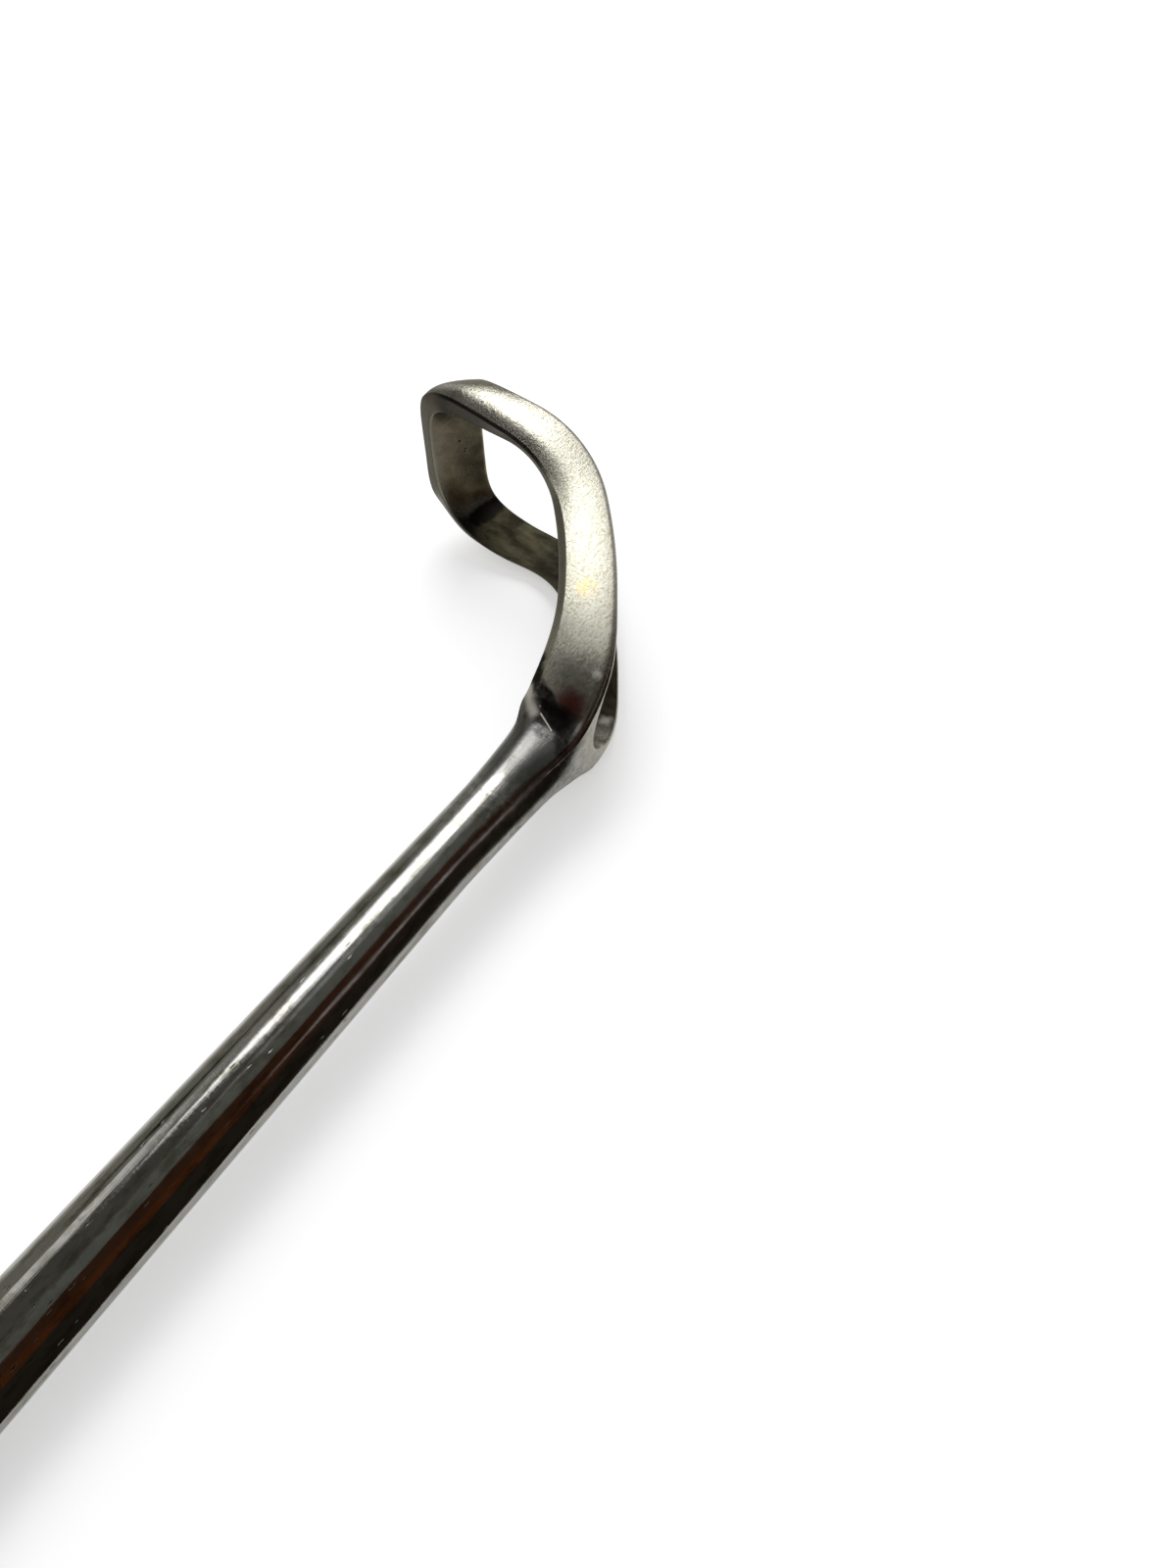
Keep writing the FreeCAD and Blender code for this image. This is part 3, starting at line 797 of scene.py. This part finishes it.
def steel_finish():
    material = bpy.data.materials.new("polished_steel")
    material.use_nodes = True
    steel = Steel(material)
    shader = steel.tree.nodes["Principled BSDF"].inputs
    brushed = steel.brush_marks()
    marks = steel.plus(
        steel.times(brushed, steel.on_ring), steel.times(steel.shaft_marks(), steel.on_shaft),
    )
    pits = steel.pits()
    bright = steel.painted_highlights()
    # Painted reflections along the ridge, at the root and at the corners, and painted shade on the
    # neck
    colour = steel.painted_reflections_shade_and_blotches(steel.stains(steel.painted_ridge_reflections(steel.metal_colour(brushed))))
    colour = steel.mix(bright, colour, PAINTED_HIGHLIGHT)
    steel.feed(shader["Base Color"], steel.mix(steel.times(pits, 0.9), colour, PIT))
    # The painted highlights are less metallic, so that they stay bright
    steel.feed(shader["Metallic"], steel.math("MULTIPLY_ADD", bright, -0.8, 1.0))
    steel.feed(shader["Roughness"], steel.roughness(marks))

    grainy = steel.times(steel.grain, steel.step(steel.station, 3.0, 10.0, 0.0, 1.4))
    height = steel.math("SUBTRACT", steel.plus(marks, grainy), steel.times(pits, 1.5))
    bump = steel.make("ShaderNodeBump", 0, (), Strength=0.5, Distance=BUMP_DEPTH, Height=height)
    steel.feed(shader["Normal"], bump)
    return material


mesh.materials.append(steel_finish())

# Camera: the photograph's view, as its turn and shift in the tool frame, in which it looks along +Z
LENS = SENSOR = 36
NEAREST_SEEN = 0.005
CAMERA_TURN = ((0.5795, 0.0217, -0.8147), (-0.6697, 0.5823, -0.4609), (0.4644, 0.8127, 0.352))
CAMERA_SHIFT = (-2.041, -3.863, 112.978)
seen = np.array(CAMERA_TURN)
eye = turn @ (-seen.T @ np.array(CAMERA_SHIFT)) * MM + shift
facing = Matrix(turn @ seen.T @ np.diag([1, -1, -1])).to_4x4()
camera_data = bpy.data.cameras.new("Camera")
camera_data.lens = LENS
camera_data.sensor_width = SENSOR
camera_data.clip_start = NEAREST_SEEN
camera = add_object("Camera", camera_data)
camera.matrix_world = Matrix.Translation(Vector(eye)) @ facing
bpy.context.scene.camera = camera


# Studio: a pale floor, soft lamps, and cards that only the polished metal mirrors. Directions are an
# azimuth and an elevation in degrees, and lengths are metres.

RING_SPOT = (0.1, 0.0, 0.008)
SHAFT_SPOT = (0.038, -0.01, 0.006)
FLOOR_SIZE = 8.0
TABLE_REACH = 0.6
TABLE_HEIGHT = 0.0001


def plain_material(name, colour, glow=0.0):
    """A matt surface. Its glow is for what the camera sees, also in metal, and lights nothing."""
    material = bpy.data.materials.new(name)
    material.use_nodes = True
    n = Nodes(material)
    shader = n.tree.nodes["Principled BSDF"].inputs
    shader["Base Color"].default_value = (*colour, 1)
    shader["Roughness"].default_value = 1.0
    shader["Specular IOR Level"].default_value = 0.0
    if glow:
        path = n.tree.nodes.new("ShaderNodeLightPath").outputs
        shown = n.most(path["Is Camera Ray"], path["Is Glossy Ray"], path["Is Transmission Ray"])
        shader["Emission Color"].default_value = (1, 1, 1, 1)
        n.feed(shader["Emission Strength"], n.times(shown, glow))
    return material


def aimed(item, azimuth, elevation, distance, target):
    """Puts an item at a direction and distance from the target, facing it."""
    a, e = math.radians(azimuth), math.radians(elevation)
    away = Vector((math.cos(a) * math.cos(e), math.sin(a) * math.cos(e), math.sin(e)))
    to_target = away.to_track_quat("Z", "Y").to_matrix().to_4x4()
    item.matrix_world = Matrix.Translation(Vector(target) + away * distance) @ to_target


def rectangle(width, height):
    w, h = width / 2, height / 2
    return [(-w, -h, 0), (w, -h, 0), (w, h, 0), (-w, h, 0)]


def add_sheet(name, corners, material):
    """A flat sheet of the studio, with four corners."""
    data = bpy.data.meshes.new(name)
    data.from_pydata(corners, [], [(0, 1, 2, 3)])
    data.materials.append(material)
    sheet = add_object(name, data)
    return sheet


def add_mirrored_sheet(name, corners, colour, glow=0.0):
    """A sheet that only the metal mirrors: the camera doesn't see it, and it throws no shade."""
    sheet = add_sheet(name, corners, plain_material(name, colour, glow))
    sheet.visible_camera = sheet.visible_shadow = sheet.visible_diffuse = False
    return sheet


def add_card(name, azimuth, elevation, distance, width, height, colour, target=RING_SPOT):
    card = add_mirrored_sheet(name, rectangle(width, height), colour)
    aimed(card, azimuth, elevation, distance, target)


def add_table_card(name, front, back, colour, glow=0.0):
    """A card on the floor. front and back are the Y of its left and right corners."""
    corners = [
        (-TABLE_REACH, front[0]), (TABLE_REACH, front[1]),
        (TABLE_REACH, back[1]), (-TABLE_REACH, back[0]),
    ]
    add_mirrored_sheet(name, [(x, y, TABLE_HEIGHT) for x, y in corners], colour, glow)


def add_lamp(name, azimuth, elevation, distance, width, height, power, target=RING_SPOT):
    data = bpy.data.lights.new(name, "AREA")
    data.shape = "RECTANGLE"
    data.size, data.size_y = width, height
    data.energy = power
    aimed(add_object(name, data), azimuth, elevation, distance, target)


pale_floor = plain_material("pale_floor", (0.9, 0.9, 0.9), 0.34)
add_sheet("floor", rectangle(FLOOR_SIZE, FLOOR_SIZE), pale_floor)

world = bpy.data.worlds.new("World")
bpy.context.scene.world = world
world.use_nodes = True
background = world.node_tree.nodes["Background"].inputs
background["Color"].default_value = (0.99, 0.99, 1.0, 1)
background["Strength"].default_value = 0.6

add_lamp("window_lamp", 32, 55.3, 0.55, 0.26, 0.37, 1.0)
add_lamp("side_window", 81, 53, 0.5, 0.1, 0.2, 0.034, SHAFT_SPOT)

# The room around the tool, by what each side of the metal mirrors
add_card("overhead_card", 130, 80, 0.7, 0.8, 0.8, (0.1, 0.097, 0.085))
add_card("back_card", 172, 62, 0.5, 0.5, 0.25, (0.012, 0.009, 0.007))
add_card("brown_card", 282, 27, 0.5, 1.2, 0.25, (0.046, 0.02, 0.011))
add_card("low_brown_card", 276, 4, 0.3, 0.16, 0.14, (0.068, 0.022, 0.008), SHAFT_SPOT)
add_card("low_front_card", 282, -7, 0.5, 1.2, 0.3, (0.02, 0.015, 0.01))
add_card("upper_front_card", 290, 55, 0.5, 0.9, 0.26, (0.14, 0.143, 0.128))
add_card("side_card", 88, 27, 0.6, 0.62, 0.68, (0.24, 0.235, 0.2))
add_card("low_side_card", 20, 12, 0.6, 0.7, 0.3, (0.25, 0.235, 0.21))
add_card("line_card", 62, 32, 0.45, 0.4, 0.05, (0.01, 0.01, 0.008))

# The table below the tool: dark in front of the shaft, bright under it and grey behind
TABLE_START = (-0.7, -0.7)
TABLE_FRONT = (0.0056, -0.034)
TABLE_BACK = (0.022, 0.022)
TABLE_END = (0.5, 0.5)
add_table_card("table_card", TABLE_FRONT, TABLE_BACK, (0.66, 0.65, 0.62), 0.16)
add_table_card("back_table_card", TABLE_BACK, TABLE_END, (0.34, 0.33, 0.3))
add_table_card("dark_table_card", TABLE_START, TABLE_FRONT, (0.02, 0.016, 0.012))

bpy.context.scene.view_settings.view_transform = "Standard"
